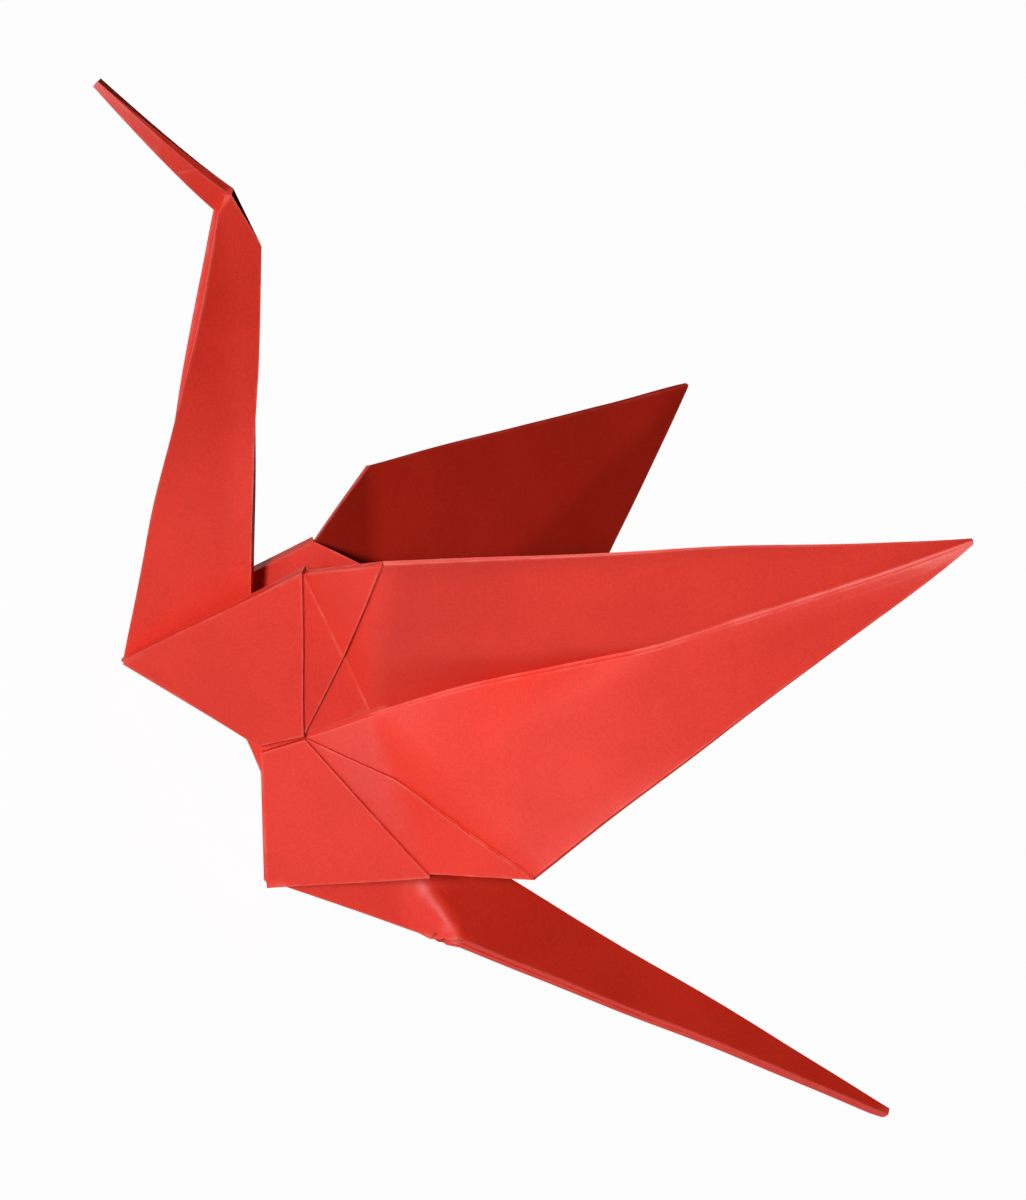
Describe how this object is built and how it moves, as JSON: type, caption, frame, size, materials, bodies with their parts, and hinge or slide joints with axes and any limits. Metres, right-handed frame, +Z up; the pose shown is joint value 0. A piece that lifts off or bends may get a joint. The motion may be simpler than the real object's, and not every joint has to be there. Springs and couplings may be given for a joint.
{
  "type": "origami crane",
  "caption": "Folded paper crane from one square sheet, with raised wings, an upright neck with a bent head, and a slanting tail.",
  "frame": {"origin": "on the floor, below the middle of the crane's outer box, which stands on the four corners of its base", "axes": "+X from the neck to the tail, +Y from the near wing to the far wing, +Z up"},
  "size_m": [0.1368, 0.0664, 0.0839],
  "materials": {
    "paper": "matte"
  },
  "bodies": {
    "root": {"crane": "paper"}
  },
  "joints": []
}
